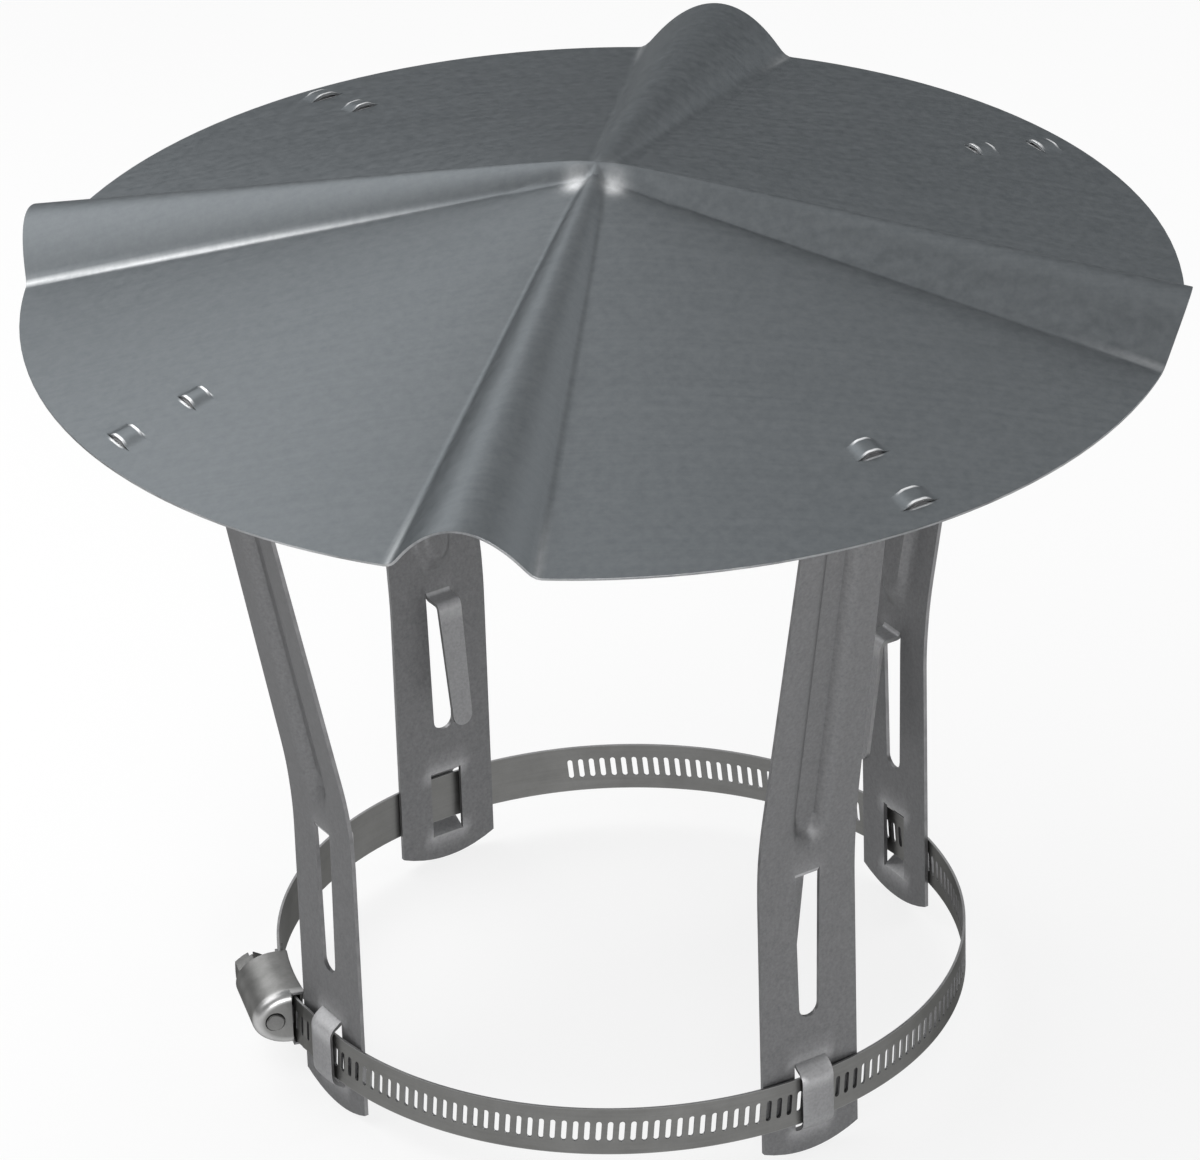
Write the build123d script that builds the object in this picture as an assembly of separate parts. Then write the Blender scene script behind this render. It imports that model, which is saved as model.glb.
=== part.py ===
from build123d import *
import os
from math import asin, atan, atan2, cos, degrees, hypot, radians, sin, sqrt, tan

# A chimney rain cap: a pressed cone roof on four strip legs, held to the flue
# pipe by a worm-drive band clamp. Millimetres, +Z up, on its four leg tips.
# The legs stand on the X and Y axes and the roof's ridges lie between them.

# Roof: one pressed sheet
roof_r = 136.5          # rim radius of the panels
roof_drop = 32.0        # from the panels' common apex down to the rim
roof_t = 0.7
apex_z = 227.0          # height of the panels' common apex
ridge_half_apex = 5.0   # half the width of a ridge, foot to foot
ridge_half_rim = 17.5
ridge_rise_apex = 4.5   # crest above the feet
ridge_rise_rim = 12.3
ridge_run_out = 16.0    # length of a ridge that the rim cut takes off
dome_r = 7.0            # rounded knob where the four ridges meet
dome_rise = 0.2         # knob above the ridges' crests
weld_in = 0.1           # depth that joined shapes sink into each other

# Clinched joints between the roof and a leg, two on each
clinch_in = 4.5         # inner joint, from the leg's bend
clinch_out = 5.2        # outer joint, from the leg's end
clinch_len = 5.0        # across the lance, along the radius
clinch_top = 2.8        # half the flat of the raised bridge
clinch_foot = 4.6       # half the whole bridge
clinch_rise = 1.3
clinch_gap = 0.15       # play along the cut edges

# Legs: bent steel strip
leg_w = 27.0
leg_top_w = 22.0
leg_t = 1.0
tip_sag = 3.2           # bow of the lower end
bend_z = 84.0           # lower bend
bend_r = 25.0
seat_r = 105.0          # radius where a leg turns out under the roof
seat_bend_r = 2.0
flange_inset = 3.5      # from a leg's end to the roof's rim
rib_w = 7.5
rib_depth = 1.6
rib_draft = 30.0
rib_low_gap = 4.0       # from the lower bend
rib_high_gap = 13.4     # from the upper bend

# Hook: a tab lanced out of the leg's slot, which hangs over the pipe's rim
slot_len = 38.5
slot_top_gap = 8.0      # from the slot up to the lower bend
slot_w = 7.0
slot_end_w = 5.6
hook_reach = 5.6        # from the leg's middle to the tab's middle, at the top
hook_flare = 4.6        # how far the tab's end stands off beyond that
hook_bend_r = 1.4
hook_play = 0.1         # cut width along the tab's sides

# Strap: a bridge pushed out of the leg, which the band passes through
strap_w = 8.8
strap_room = 0.45       # from the band's edge to the strap's slope
strap_slope = 2.6       # height of each sloping end
strap_bend_r = 0.6
strap_play = 0.4        # from the band's outer face to the strap

# Clamp band: slotted steel strip, its free end lapping over its fixed end
band_r = 84.2           # inner radius of the loop
band_w = 12.7
band_t = 0.6
band_z = 16.0
band_gap = 0.3          # from the band to the edges of the legs
lap_gap = 0.1           # between laps, and between band and saddle
joggle_deg = 5.5        # stretch over which the free end climbs onto the lap
slots_end_deg = 66.5    # where the row of slots begins at the back
slot_pitch = 2.78
thread_slot_len = 5.4
thread_slot_w = 1.25
tail_len = 3.5          # free end standing out behind the housing
fixed_end_in = 3.0      # fixed end's depth inside the housing's mouth
slot_margin = 2.2       # from the free end to the first slot

# Clamp housing, saddle and worm screw
housing_len = 20.0
housing_gap = 2.2       # from its mouth to the left leg's edge
housing_t = 0.7
housing_play = 0.35     # at the band's edges and over the worm
housing_nose_r = 2.6    # rounding of the drawn front end
lip_w = 2.2             # edges folded under the saddle
saddle_t = 0.6
ear_len = 3.0           # pointed ears behind the housing
ear_rise = 1.9
worm_r = 4.3
worm_root_r = 3.3
worm_gap = 0.15         # from the worm to the band
worm_end_play = 2.5     # from the worm to each end of the housing
pilot_r = 2.3
pilot_out = 0.6
pilot_play = 0.08
collar_lip = 0.4        # collar beyond the worm's crest
collar_t = 1.2
collar_play = 0.3       # behind the housing's open end
hex_af = 8.0
hex_h = 5.2
hex_bevel = 60.0        # slope of the bevel round the outer end
drive_w = 1.2
drive_depth = 1.8

# Values that follow from the sizes above
slope = roof_drop / roof_r
roof_v = roof_t / cos(atan(slope))
rim_z = apex_z - roof_drop
flange_end_r = roof_r - flange_inset
clinch_radii = (seat_r + clinch_in, flange_end_r - clinch_out)
leg_x = sqrt(band_r**2 - (leg_w / 2) ** 2) - band_gap - leg_t / 2
flange_sag = slope * (hypot(seat_r, leg_top_w / 2) - seat_r) + clinch_gap
flange_plane = Plane(
    origin=(0, 0, apex_z - roof_v - flange_sag),
    x_dir=(1, 0, -slope),
    z_dir=(slope, 0, 1),
)
slot_top_z = bend_z - slot_top_gap
strap_half = band_w / 2 + strap_room + strap_slope
lap_r = band_r + band_t + lap_gap
worm_x = lap_r + band_t + worm_gap + worm_r
worm_len = housing_len - 2 * worm_end_play
leg_edge_deg = 180 - degrees(atan2(leg_w / 2, leg_x + leg_t / 2))
mouth_deg = leg_edge_deg - degrees(housing_gap / lap_r)
housing_half_deg = degrees(asin(housing_len / 2 / lap_r))
housing_deg = mouth_deg - housing_half_deg
fixed_end_deg = mouth_deg - degrees(fixed_end_in / lap_r)
tail_end_deg = housing_deg - housing_half_deg - degrees(tail_len / lap_r)


def share(start, end, part):
    return start + (end - start) * part


def at_slope(radius, height):
    """A point on a leg's line through the flange, measured from its top face."""
    point = flange_plane.from_local_coords(Vector(radius / cos(atan(slope)), 0, height))
    return point.X, point.Z


def bent_strip(points, radii, thickness, width):
    """A strip bent along a line in the XZ plane, centred on that line and on Y."""
    line = FilletPolyline(*points, radius=radii)
    return Rot(90, 0, 0) * extrude(trace(line, thickness), width / 2, both=True)


def ridge_centre(radius, half, rise):
    """Centre and radius of the round section through a ridge's two feet and its crest."""
    arch_r = (half**2 + rise**2) / (2 * rise)
    feet_z = apex_z - slope * hypot(radius, half)
    return Vector(radius, 0, feet_z + rise - arch_r), arch_r


def make_ridge(inset):
    """One tapering round ridge along X, from the apex to beyond the rim."""
    start, start_r = ridge_centre(0, ridge_half_apex, ridge_rise_apex)
    end, end_r = ridge_centre(roof_r, ridge_half_rim, ridge_rise_rim)
    run = (end - start).length
    length = run + ridge_run_out
    far_r = share(start_r, end_r, length / run)
    cone = Cone(start_r - inset, far_r - inset, length, align=(Align.CENTER, Align.CENTER, Align.MIN))
    return Plane(origin=start, z_dir=end - start) * cone


def roof_body(inset):
    """Everything below the roof's top face, or below its inset inner face."""
    reach = roof_r + 2 * ridge_run_out + inset
    floor_z = rim_z - 3 * ridge_half_rim - inset
    top_z = apex_z - inset
    outline = Polyline((0, top_z), (reach, top_z - slope * reach), (reach, floor_z), (0, floor_z), close=True)
    body = revolve(Plane.XZ * make_face(outline), Axis.Z)
    ridge = make_ridge(inset)
    for turn in range(4):
        body += Rot(0, 0, 45 + 90 * turn) * ridge
    knob_z = apex_z + ridge_rise_apex + dome_rise - dome_r
    return body + Pos(0, 0, knob_z) * Sphere(dome_r - inset)


def bridge(radius, length, low, rise, thickness):
    """A raised clinch bridge across the flange line, its ends sunk into the sheet."""
    end = clinch_foot + 3 * weld_in
    under = [(-end, low + weld_in), (-clinch_foot, low + weld_in), (-clinch_top, low + rise),
             (clinch_top, low + rise), (clinch_foot, low + weld_in), (end, low + weld_in)]
    over = [(-end, low + thickness - weld_in), (-clinch_foot, low + thickness - weld_in),
            (-clinch_top, low + rise + thickness), (clinch_top, low + rise + thickness),
            (clinch_foot, low + thickness - weld_in), (end, low + thickness - weld_in)]
    section = make_face(Polyline(*under, *reversed(over), close=True))
    place = Plane(origin=(radius / cos(atan(slope)) - length / 2, 0, 0), x_dir=(0, 1, 0), z_dir=(1, 0, 0))
    return flange_plane * (place * extrude(section, length))


def lance(radius, length, low, high):
    """The opening that a clinch bridge is raised from."""
    size = (length, 2 * clinch_foot, high - low)
    return flange_plane * (Pos(radius / cos(atan(slope)), 0, (low + high) / 2) * Box(*size))


def make_roof():
    sheet = roof_body(0) - roof_body(roof_v)
    low, high = rim_z - roof_drop / 2, apex_z + 2 * ridge_rise_rim
    rim_cut = Pos(0, 0, low) * Cone(
        roof_r + (low - rim_z) * slope,
        roof_r + (high - rim_z) * slope,
        high - low,
        align=(Align.CENTER, Align.CENTER, Align.MIN),
    )
    sheet &= rim_cut
    for turn in range(4):
        for radius in clinch_radii:
            sheet -= Rot(0, 0, 90 * turn) * lance(radius, clinch_len, 0, flange_sag + 2 * roof_t)
            sheet += Rot(0, 0, 90 * turn) * bridge(radius, clinch_len, flange_sag, clinch_rise, roof_t)
    return sheet


def leg_outline():
    """Front view of a leg, as a slab along X: bowed lower end, tapered upper half."""
    half, top = leg_w / 2, leg_top_w / 2
    seat_z = at_slope(seat_r, 0)[1]
    lines = [
        ThreePointArc((-half, tip_sag), (0, 0), (half, tip_sag)),
        Polyline((half, tip_sag), (half, bend_z), (top, seat_z), (top, apex_z), (-top, apex_z),
                 (-top, seat_z), (-half, bend_z), (-half, tip_sag)),
    ]
    return Plane.YZ * extrude(make_face(lines), 2 * roof_r)


def slot_outline(trim, low, high):
    """Tapered slot with a round lower end, as a slab along X."""
    end_r = slot_end_w / 2 - trim
    top_half = slot_w / 2 - trim
    lines = [
        ThreePointArc((-end_r, low + end_r), (0, low), (end_r, low + end_r)),
        Polyline((end_r, low + end_r), (top_half, high), (-top_half, high), (-end_r, low + end_r)),
    ]
    return Plane.YZ * extrude(make_face(lines), 2 * roof_r)


def make_hook():
    """The lanced tab: over the pipe's rim, then down inside it."""
    web_z = slot_top_z + leg_t / 2
    end_z = web_z - (slot_len - hook_reach)
    points = [(leg_x, web_z + 3 * leg_t), (leg_x, web_z), (leg_x - hook_reach, web_z),
              (leg_x - hook_reach - hook_flare, end_z)]
    tab = bent_strip(points, hook_bend_r, leg_t, slot_w)
    return tab & slot_outline(hook_play, end_z, web_z + 4 * leg_t)


def make_strap():
    out_x = band_r + band_t + strap_play + leg_t / 2
    low_z, high_z = band_z - strap_half, band_z + strap_half
    points = [(leg_x, low_z - leg_t), (leg_x, low_z), (out_x, low_z + strap_slope),
              (out_x, high_z - strap_slope), (leg_x, high_z), (leg_x, high_z + leg_t)]
    return bent_strip(points, strap_bend_r, leg_t, strap_w)


def make_rib(seat):
    """A drafted groove in the outer face, and the bulge that it raises inside."""
    run = (seat[0] - leg_x, seat[1] - bend_z)
    low_z, high_z = bend_z + rib_low_gap, seat[1] - rib_high_gap
    mid_z = (low_z + high_z) / 2
    mid_x = leg_x + run[0] * (mid_z - bend_z) / run[1]
    up = Vector(run[0], 0, run[1]).normalized()
    out = Vector(up.Z, 0, -up.X)
    face = Plane(origin=Vector(mid_x, 0, mid_z) + out * (leg_t / 2), x_dir=up, z_dir=out)
    length = (high_z - low_z) / up.Z
    groove = extrude(SlotOverall(length, rib_w), -rib_depth, taper=rib_draft)
    bulge = extrude(SlotOverall(length + leg_t, rib_w + leg_t), -rib_depth - leg_t, taper=rib_draft)
    return face * groove, face * bulge


def make_leg():
    seat, end = at_slope(seat_r, -leg_t / 2), at_slope(flange_end_r, -leg_t / 2)
    points = [(leg_x, 0), (leg_x, bend_z), seat, end]
    leg = bent_strip(points, (bend_r, seat_bend_r), leg_t, leg_w) & leg_outline()
    groove, bulge = make_rib(seat)
    leg = leg + bulge - groove
    near = Pos(leg_x, 0, 0) * Box(2 * leg_t, 2 * leg_w, 2 * bend_z)
    leg -= slot_outline(0, slot_top_z - slot_len, slot_top_z) & near
    leg += make_hook()
    window = Pos(leg_x, 0, band_z) * Box(2 * leg_t, strap_w, 2 * strap_half)
    leg = leg - window + make_strap()
    for radius in clinch_radii:
        length = clinch_len - 2 * clinch_gap
        leg -= lance(radius, length, -2 * leg_t, leg_t)
        leg += bridge(radius, length, -leg_t, clinch_rise + flange_sag, leg_t)
    return leg


def on_circle(radius, angle):
    return radius * cos(radians(angle)), radius * sin(radians(angle))


def make_band():
    """The loop runs clockwise from its fixed end and laps over it on the outside."""
    mid, lap = band_r + band_t / 2, lap_r + band_t / 2
    climb = mouth_deg + joggle_deg - 360
    lines = [
        CenterArc((0, 0), mid, climb, fixed_end_deg - climb),
        Spline(
            on_circle(lap, mouth_deg), on_circle(mid, climb),
            tangents=[(-sin(radians(mouth_deg)), cos(radians(mouth_deg))),
                      (-sin(radians(climb)), cos(radians(climb)))],
        ),
        CenterArc((0, 0), lap, tail_end_deg, mouth_deg - tail_end_deg),
    ]
    strip = trace(Wire(lines), band_t)
    band = Pos(0, 0, band_z) * extrude(strip, band_w / 2, both=True)
    pitch_deg = degrees(slot_pitch / lap)
    first = tail_end_deg - 360 + degrees(slot_margin / lap)
    count = int((slots_end_deg - first) / pitch_deg) + 1
    pattern = Rectangle(thread_slot_w, thread_slot_len)
    inner, outer = band_r - band_t, lap_r - lap_gap / 2
    cuts = []
    for index in range(count):
        angle = first + index * pitch_deg
        start = outer if angle + 360 < fixed_end_deg + pitch_deg else inner
        plane = Plane(origin=(start, 0, band_z), x_dir=(0, 1, 0), z_dir=(1, 0, 0))
        cuts.append(Rot(0, 0, angle) * extrude(plane * pattern, 3 * band_t))
    return band.cut(*cuts)


def hood_section(grow, low):
    """Arched section over the worm and the band's edges, in radius and height."""
    half = band_w / 2 + housing_play + grow
    arch = Pos(worm_x, 0) * Circle(worm_r + housing_play + grow)
    foot = Pos((low + lap_r) / 2, 0) * Rectangle(lap_r - low, 2 * half)
    return make_hull([*arch.edges(), *foot.edges()])


def along_screw(section, start, end):
    """A section in radius and height, run along the screw from start to end."""
    return Pos(0, start, band_z) * Rot(90, 0, 0) * extrude(section, -(end - start))


def nose_edges(form):
    """Edges of the front end that are rounded over, down to the band."""
    front = form.faces().sort_by(Axis.Y)[-1]
    return front.edges().filter_by(lambda edge: edge.center().X > lap_r)


def ring_piece(inner, outer, start, end, low, high):
    """A curved plate that follows the loop, between two places along the screw."""
    height = high - low
    ring = Cylinder(outer, height) - Cylinder(inner, height)
    size = (worm_x, end - start, height)
    return Pos(0, 0, band_z + (low + high) / 2) * (ring & Pos(worm_x, (start + end) / 2, 0) * Box(*size))


def make_housing():
    half = housing_len / 2
    lip_r = band_r - lap_gap - saddle_t - lap_gap
    low = lip_r - 3 * housing_t
    side = band_w / 2 + housing_play
    outer = along_screw(hood_section(housing_t, low), -half, half)
    inner = along_screw(hood_section(0, low - housing_t), -half - housing_t, half - housing_t)
    nose_cut = (housing_nose_r - housing_t) * (2 - sqrt(2))
    shell = fillet(nose_edges(outer), housing_nose_r) - chamfer(nose_edges(inner), nose_cut)
    mouth_x = lap_r + band_t + lap_gap
    shell -= Pos(mouth_x - worm_x / 2, half, band_z) * Box(worm_x, 4 * housing_t, 2 * side)
    shell -= Pos(0, 0, band_z) * Cylinder(lip_r - housing_t, 4 * side)
    for low_edge, high_edge in ((-side - housing_t / 2, lip_w - side), (side - lip_w, side + housing_t / 2)):
        shell += ring_piece(lip_r - housing_t, lip_r, -half, half, low_edge, high_edge)
    return shell - along_screw(Pos(worm_x, 0) * Circle(pilot_r + pilot_play), 0, housing_len)


def make_saddle():
    """Curved plate under the laps, with pointed ears behind the housing."""
    half = housing_len / 2
    edge = band_w / 2 + housing_play - lap_gap
    inner = band_r - lap_gap - saddle_t
    plate = ring_piece(inner, inner + saddle_t, -half - ear_len, half, -edge, edge)
    tall = ring_piece(inner, inner + saddle_t, -half - ear_len, -half, -edge - ear_rise, edge + ear_rise)
    point = edge + ear_rise
    ears = make_face(Polyline((-half - ear_len, 0), (-half - ear_len / 2, point), (-half, edge),
                              (-half, -edge), (-half - ear_len / 2, -point), close=True))
    across = Plane(origin=(0, 0, band_z), x_dir=(0, 1, 0), z_dir=(1, 0, 0))
    return plate + (tall & extrude(across * ears, worm_x))


def make_screw():
    """Slotted hex head, collar, worm and front pilot; built upright, then laid along Y."""
    half = housing_len / 2
    collar_z = -half - collar_play - collar_t
    head_z = collar_z - hex_h
    head = Pos(0, 0, head_z) * extrude(RegularPolygon(hex_af / 2, 6, major_radius=False), hex_h)
    head &= Pos(0, 0, head_z) * Cone(
        hex_af / 2, hex_af / 2 + hex_h * tan(radians(hex_bevel)), hex_h,
        align=(Align.CENTER, Align.CENTER, Align.MIN),
    )
    head -= Pos(0, 0, head_z) * Box(drive_w, 2 * hex_af, 2 * drive_depth)
    stages = ((worm_r + collar_lip, collar_z, collar_z + collar_t), (worm_root_r, collar_z, worm_len / 2),
              (worm_r, -worm_len / 2, worm_len / 2), (pilot_r, worm_len / 2, half + pilot_out))
    for radius, low, high in stages:
        head += Pos(0, 0, low) * extrude(Circle(radius), high - low)
    return Pos(worm_x, 0, band_z) * Rot(-90, 0, 0) * head


os.makedirs("parts", exist_ok=True)
export_step(make_roof(), "parts/roof.step")
leg = make_leg()
for name, angle in (("right", 0), ("back", 90), ("left", 180), ("front", 270)):
    export_step(Rot(0, 0, angle) * leg, f"parts/leg_{name}.step")
export_step(make_band(), "parts/clamp_band.step")
clamp_turn = Rot(0, 0, housing_deg)
export_step(clamp_turn * make_housing(), "parts/clamp_housing.step")
export_step(clamp_turn * make_saddle(), "parts/clamp_saddle.step")
export_step(clamp_turn * make_screw(), "parts/worm_screw.step")
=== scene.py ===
import cmath
import math

import bpy
import numpy as np
from mathutils import Matrix, Vector


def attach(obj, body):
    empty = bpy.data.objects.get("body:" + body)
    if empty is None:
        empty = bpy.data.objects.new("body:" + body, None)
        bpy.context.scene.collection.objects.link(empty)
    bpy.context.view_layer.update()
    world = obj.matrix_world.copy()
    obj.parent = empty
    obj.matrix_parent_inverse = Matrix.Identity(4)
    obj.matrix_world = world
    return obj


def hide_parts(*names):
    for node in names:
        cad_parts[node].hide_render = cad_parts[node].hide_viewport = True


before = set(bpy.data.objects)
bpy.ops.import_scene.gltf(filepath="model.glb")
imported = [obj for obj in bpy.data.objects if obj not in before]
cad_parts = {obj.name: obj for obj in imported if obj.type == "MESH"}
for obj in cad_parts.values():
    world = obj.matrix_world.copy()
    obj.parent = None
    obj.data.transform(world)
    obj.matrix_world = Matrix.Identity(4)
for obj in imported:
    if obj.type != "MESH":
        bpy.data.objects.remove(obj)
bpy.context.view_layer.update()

# The dressed chimney rain cap: every sheet-metal piece is a grid of points on
# its outer face, welded where pieces of one sheet meet, and given its thickness.
# Sizes are in millimetres, and points go to metres when a mesh is made.
MM = 0.001

# Roof
ROOF_R, ROOF_DROP, ROOF_T, APEX_Z = 136.5, 32.0, 0.7, 227.0
# A ridge's bearing, its half width at the apex and at the rim, and its rise at both
RIDGES = ((45.0, (2.6, 18.0), (1.8, 12.3)), (135.0, (2.6, 16.6), (4.1, 12.3)),
          (224.2, (2.6, 16.4), (1.8, 12.9)), (315.0, (2.6, 16.8), (4.1, 12.3)))
CREST_ROUND = 7.0                                   # the crest's rounding over the apex
FOOT_BLEND = (0.9, 2.2)                             # softness of a ridge's feet
CREST_BLEND = 1.2                                   # softness where the ridges meet
JOINT_RADII, JOINT_LEN, JOINT_HALF_DEG, JOINT_RISE = (109.5, 127.8), 5.0, 2.25, 1.3
# Rows along a joint, with a painted highlight outside the inner pair
JOINT_STEPS = (-0.5, -0.4, -0.34, 0.34, 0.4, 0.5)
JOINT_RIM = (0.6, 0.66)                             # painted highlight on the rim of the sheet beyond a joint's ends
STEP_PLAY, BRIGHT_STEP = 0.01, 0.35
ROOF_LIFT_FADE, JOINT_SHINE_FADE = (0.2, 1), (0.25, 0.7)    # across a joint's half width
# Grid of the roof: rings from the apex to the rim, columns from a joint to a ridge
APEX_RINGS, SLOPE_RINGS, RIM_RINGS = (0.9, 24, 1.3), (24.6, 104, 3.1), (118.6, 133.5, 135.6)
JOINT_COLUMNS = (0, 0.2, 0.35, 0.5, 0.6, 0.7, 0.85, 1)
FLAT_COLUMNS, RIDGE_COLUMNS = (4, 32, 2.5), (32, 45, 0.42)

# Legs
LEG_W, LEG_TOP_W, LEG_T, TIP_SAG, TIP_Z = 27.0, 22.0, 1.0, 3.2, 0.03
BAND_R, BAND_W, BAND_T, BAND_Z, BAND_GAP = 84.2, 12.7, 0.6, 16.0, 0.3
BEND_Z, BEND_R, SEAT_R, SEAT_BEND_R, FLANGE_END_R = 84.0, 130.0, 105.0, 2.0, 133.0
RIB_FLOOR, RIB_EDGE, RIB_DEPTH = 2.55, 5.7, 2.5
RIB_LOW_GAP, RIB_HIGH_GAP, RIB_END_SOFT = 4.0, 13.4, 0.6
SLOT_LEN, SLOT_TOP_GAP, SLOT_W, SLOT_END_W = 38.5, 8.0, 7.0, 5.6
HOOK_REACH, HOOK_FLARE, HOOK_BEND_R, HOOK_PLAY = 5.6, 4.6, 1.4, 0.1
STRAP_W, STRAP_ROOM, STRAP_SLOPE, STRAP_PLAY = 8.8, 0.45, 2.6, 0.4
STRAP_BEND_R, STRAP_CROWN = 3.0, 0.6
JOINT_CUT = 4.7                                     # length of a joint's lance in the leg
LEG_LIFT_FADE = (1.0, 3.9)                          # across a joint in the leg
FLANGE_GAP, HOOK_START = 0.15, 0.001
# Grid of a leg: heights of rows, and steps from the ends of the slot and the rib
TIP_ROWS, LOW_ROWS, SLOT_ROWS, NECK_ROW = (TIP_Z, 0.5, 2, 4), (28, 32), (46, 53, 60, 67, 73), 79.5
WINDOW_STEP, SLOT_LEAD, SEAT_STEP, END_STEP = 4, 1.5, 9.5, 0.5
ROUND_STEPS = (0, 0.04, 0.16, 0.4, 0.7, 1)
RIB_LOW_STEPS, RIB_HIGH_STEPS = (-6.4, -4, -2, 0, 1.4, 2.8, 4.2, 6), (-0.7, 0.4, 1.4, 2.4, 3.6, 6)
RIB_MIDDLE = 14                                     # the even rows' distance from the rib's ends
SIDE_PARTS, SLOT_PART = (0.95, 0.7, 0.35, 0.14), 0.45
SIDE_POINTS = 7                                     # points across, from an edge to the slot

# Clamp band
LAP_GAP, JOGGLE_DEG, SLOTS_END_DEG, SLOT_PITCH = 0.1, 5.5, 66.5, 2.78
THREAD_SLOT = (1.3, 5.6)                            # width and length of a slot
THREAD_LEAN = math.radians(5)
TAIL_LEN, FIXED_END_IN, SLOT_MARGIN = 3.5, 3.0, 2.2
TAIL_CORNER_R, BAND_ROWS, TIP_STEPS = 1.2, (0, 0.25, 1.0), (0, 0.05, 0.2, 0.5, 1)
PLAIN_COLUMNS, ARCH_STEPS, NOSE_STEP_DEG = 60, 24, 15
HOUSING_LEN, HOUSING_GAP, HOUSING_T, HOUSING_PLAY = 20.0, 2.2, 0.7, 0.35
NOSE_R, LIP_W, LIP_FOLD, LIP_CHAMFER, SADDLE_T, HOOD_LIFT = 2.6, 2.2, 0.5, 0.15, 0.6, 0.05

# Worm screw
WORM_R, WORM_ROOT_R, WORM_GAP, WORM_END_PLAY = 4.3, 3.3, 0.15, 2.5
PILOT_R, PILOT_PLAY, PILOT_OUT, COLLAR_R, COLLAR_T, COLLAR_PLAY = 2.3, 0.2, 0.6, 4.7, 1.2, 0.3
HEX_AF, HEX_H, HEX_BEVEL, DRIVE_W, DRIVE_DEPTH = 8.0, 5.2, math.radians(60), 1.2, 1.8
COLLAR_EDGE, PILOT_EDGE, BEVEL_ROWS = 0.2, 0.3, (0.0, 0.12, 0.24, 0.36)
THREAD_UP, THREAD_DOWN, THREAD_RUNOUT = (0.12, 0.3), (0.6, 0.78), 1.5
THREAD_RINGS, SCREW_STEP_DEG = 61, 6

# Rounded edges: widths, and the angles in degrees from which an edge is rounded
ROOF_EDGE, LEG_EDGE, BAND_EDGE = 0.12, 0.15, 0.08
HOUSING_EDGE, SCREW_EDGE, SADDLE_EDGE = 0.12, 0.12, 0.15
EDGE_DEG, SCREW_EDGE_DEG, SADDLE_EDGE_DEG = 50, 25, 30
SHARP_DEG, POINT_DIGITS, WELD_GAP = 40, 3, 0.002

# Values that follow from the sizes above
SLOPE = ROOF_DROP / ROOF_R
RIM_Z = APEX_Z - ROOF_DROP
LEG_X = math.sqrt(BAND_R**2 - (LEG_W / 2) ** 2) - BAND_GAP - LEG_T / 2
LAP_R = BAND_R + BAND_T + LAP_GAP
LEG_SIDE_DEG = math.degrees(math.atan2(LEG_W / 2, LEG_X + LEG_T / 2))
MOUTH_DEG = 180 - LEG_SIDE_DEG - math.degrees(HOUSING_GAP / LAP_R)
HOUSING_HALF_DEG = math.degrees(math.asin(HOUSING_LEN / 2 / LAP_R))
HOUSING_DEG = MOUTH_DEG - HOUSING_HALF_DEG
WORM_X = LAP_R + BAND_T + WORM_GAP + WORM_R

# View, matched to the photograph
CAMERA_PLACE = Vector((-0.8014, -1.2823, 0.9648))
CAMERA_AIM = Vector((-0.0021, 0.0013, 0.1182))
CAMERA_UP = Vector((0.2851, 0.3977, 0.8721))
CAMERA_LENS = 216.8
BRIGHT_SIDE = Vector((0.27, 0.51, 0.82))            # where the studio is brightest
GRAIN_TURN = math.radians(-32)                      # rolling direction of the roof's sheet
WORLD_DIM, WORLD_BRIGHT, WORLD_EDGE = 0.19, 0.95, 0.3
FLOOR_REACH, FLOOR_GLOW = 6.0, 0.8                  # half size in metres, share seen as white
FLOOR_TONE, FLOOR_ROUGH = 0.92, 0.9
LAMP_AIM = Vector((0, 0, 0.12))
# Name, angle from the camera's side, height angle, distance, size and power
LAMPS = (("key", -65, 50, 0.7, 0.55, 1.6), ("back", -128, 45, 0.8, 0.7, 2.3),
         ("side", 117, 16, 1.0, 0.5, 2.0), ("fill", 8, 9, 1.3, 0.5, 7))

# Painted highlights, and the band's brighter edges: strength, place and spread of each bright spot
CORNER_SHINE, CORNER_R, CORNER_SPREAD = 0.9, 6.5, 2.4
FOOT_SHINE, FOOT_OUT, FOOT_SPREAD = 0.6, 0.5, 0.8
HIGHLIT_RIDGE, HIGHLIT_FOOT = 1, (20, 100)                # the ridge with a painted highlight along most of its foot
RIM_FOOT, RIM_FOOT_SHINE = (110, 138), 0.4          # the others, with painted highlights near the rim
ROOT_SHINE, ROOT_SPREAD, ROOT_SIDE = 0.55, 2.2, (4, 8)
WEB_SHINE, WEB_UP, WEB_SPREAD, WEB_SIDE = 0.15, 1.4, 2.5, (2.5, 6)
STRAP_SHINE, STRAP_TOP, STRAP_FOOT = 0.32, (0.6, 2.2), (0.15, 1.8)  # painted brightening over the strap, and painted highlights at its ends: strength, spread
# painted highlight at the hook's bend, fading to a weaker painted brightening over the rest of the
# hook
HOOK_SHINE, HOOK_DULL, HOOK_FADE = 0.9, 0.4, (5, 14)
# the nose's value is a painted highlight along the housing's rolled nose
BAND_EDGE_SHINE, NOSE_SHINE = 0.35, 0.9

# Steel textures
DULL_EDGE = 0.25                                    # dull zinc's gain at a glancing angle
SPECKLE_SCALE, SPECKLE_SHARE, GRAIN_SHARE = 1400.0, 0.3, 0.5
TONE_RANGE, PATCH_RANGE, PATCH_SHINE = (0.6, 1.05), (0.35, 0.6), (0.78, 1.0)
GRAIN_HEIGHT = 0.0002                               # metres
ROLLED = (10, 700, 40)                              # rolled grain, stretched along the sheet


def share(pair, part):
    """The value a part of the way from the first to the second."""
    return pair[0] + (pair[1] - pair[0]) * part


def smooth(low, high, value):
    """Zero up to low, one from high on, and a soft rise between."""
    part = min(max((value - low) / (high - low), 0.0), 1.0)
    return part * part * (3 - 2 * part)


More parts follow.
